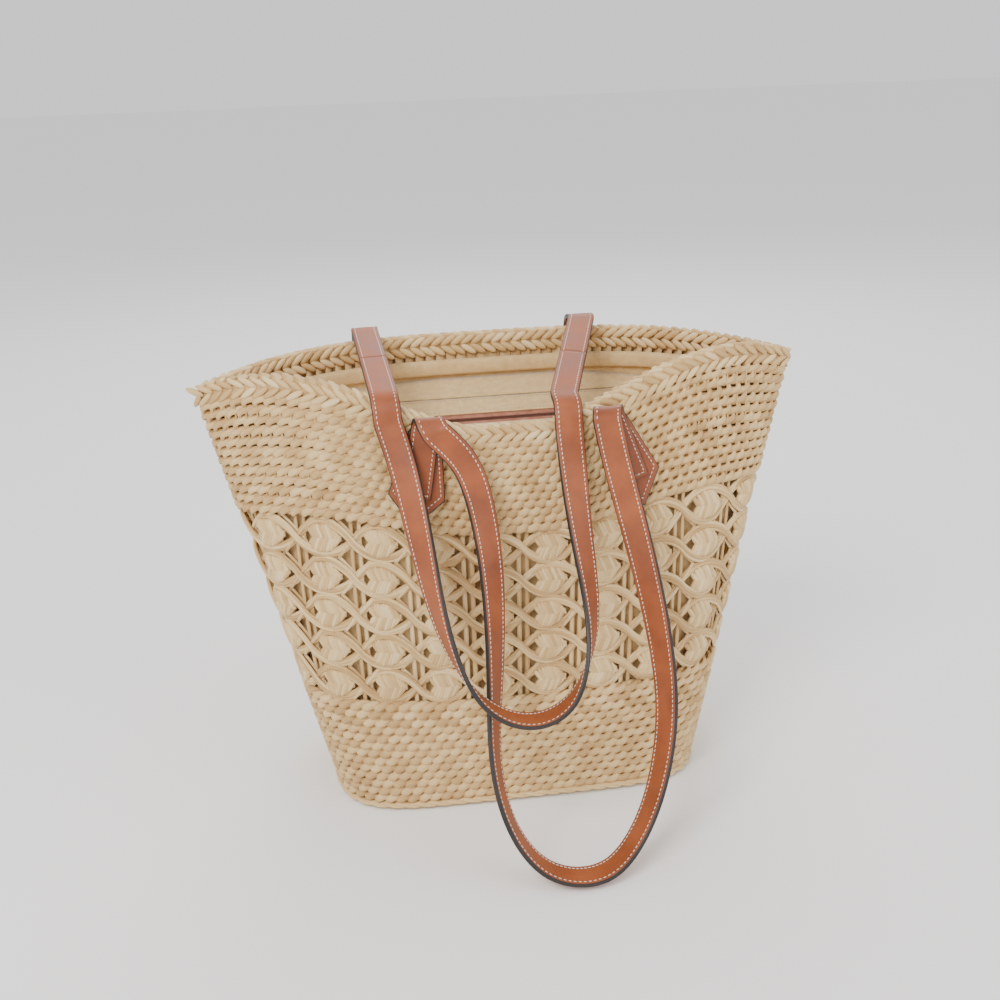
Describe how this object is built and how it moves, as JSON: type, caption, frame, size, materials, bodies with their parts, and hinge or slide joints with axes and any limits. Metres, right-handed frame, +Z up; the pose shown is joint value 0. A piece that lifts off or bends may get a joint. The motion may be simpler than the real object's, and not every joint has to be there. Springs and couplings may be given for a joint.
{
  "type": "beach bag",
  "caption": "Woven straw beach bag with an openwork band, cotton lining, recessed top zip and a pair of long leather shoulder straps on stitched tabs.",
  "frame": {"origin": "centre of the flat base, on the surface that the bag stands on", "axes": "+Z up, +X along the long side of the bag, -Y to the front, where both straps hang"},
  "size_m": [0.4856, 0.3202, 0.3693],
  "materials": {
    "straw_weave": "matte twisted paper straw",
    "straw_openwork": "matte plaited paper straw",
    "straw_braid": "matte braided paper straw",
    "lining_cotton": "plain woven cotton",
    "zip_tape": "woven polyester tape",
    "zip_teeth": "nylon coil",
    "zip_metal": "antique brass",
    "leather": "smooth leather with painted edges"
  },
  "bodies": {
    "root": {"base_weave": "straw_weave", "lower_weave": "straw_weave", "openwork_row_1": "straw_openwork", "openwork_row_2": "straw_openwork", "openwork_row_3": "straw_openwork", "openwork_row_4": "straw_openwork", "openwork_row_5": "straw_openwork", "upper_weave": "straw_weave", "rim_braid": "straw_braid", "lining_bag": "lining_cotton", "lining_hem": "lining_cotton", "zip_facing": "lining_cotton", "zip_end_left": "zip_tape", "zip_end_right": "zip_tape", "front_tab_left": "leather", "front_tab_right": "leather", "back_tab_left": "leather", "back_tab_right": "leather", "front_strap_end_left": "leather", "front_strap_end_right": "leather", "back_strap_end_left": "leather", "back_strap_end_right": "leather"},
    "back_zip_flap": {"back_flap": "lining_cotton", "back_zip_tape": "zip_tape", "back_zip_teeth": "zip_teeth"},
    "front_zip_flap": {"front_flap": "lining_cotton", "front_zip_tape": "zip_tape", "front_zip_teeth": "zip_teeth"},
    "slider": {"zip_slider": "zip_metal"},
    "puller": {"zip_puller": "zip_metal"},
    "front_strap": {"front_strap_fold_left": "leather", "front_strap_fold_right": "leather", "front_strap_loop": "leather"},
    "back_strap_over_mouth": {"back_strap_fold_left": "leather", "back_strap_fold_right": "leather", "back_strap_bridge_left": "leather", "back_strap_bridge_right": "leather"},
    "back_strap_hanging": {"back_strap_bend_left": "leather", "back_strap_bend_right": "leather", "back_strap_loop": "leather"}
  },
  "joints": [
    {"name": "back_flap_fold", "type": "hinge", "parent": "root", "child": "back_zip_flap", "pos_m": [0, 0.03658, 0.30926], "axis": [1, 0, 0], "range_deg": [0, 75]},
    {"name": "front_flap_fold", "type": "hinge", "parent": "root", "child": "front_zip_flap", "pos_m": [0, -0.02277, 0.28998], "axis": [-1, 0, 0], "range_deg": [0, 75]},
    {"name": "zip_slide", "type": "slide", "parent": "root", "child": "slider", "axis": [1, 0, 0], "range_m": [0, 0.315]},
    {"name": "puller_flip", "type": "hinge", "parent": "slider", "child": "puller", "pos_m": [-0.1719, 0.00393, 0.30228], "axis": [0, -0.9511, -0.309], "range_deg": [0, 120]},
    {"name": "front_strap_swing", "type": "hinge", "parent": "root", "child": "front_strap", "pos_m": [0.005, -0.0825, 0.325], "axis": [-1, 0, 0], "range_deg": [0, 158], "deforming": ["front_strap_fold_left", "front_strap_fold_right"]},
    {"name": "back_strap_lift", "type": "hinge", "parent": "root", "child": "back_strap_over_mouth", "pos_m": [-0.01, 0.07, 0.356], "axis": [-1, 0, 0], "range_deg": [0, 100], "deforming": ["back_strap_fold_left", "back_strap_fold_right"]},
    {"name": "back_strap_hang", "type": "hinge", "parent": "back_strap_over_mouth", "child": "back_strap_hanging", "pos_m": [-0.0233, -0.0615, 0.3215], "axis": [-0.9955, 0.0072, 0.0946], "range_deg": [0, 53], "deforming": ["back_strap_bend_left", "back_strap_bend_right"]}
  ],
  "couplings": [
    {"joint": "back_strap_lift", "follows": "front_strap_swing", "ratio": 0.63},
    {"joint": "back_strap_hang", "follows": "front_strap_swing", "ratio": 0.33}
  ]
}
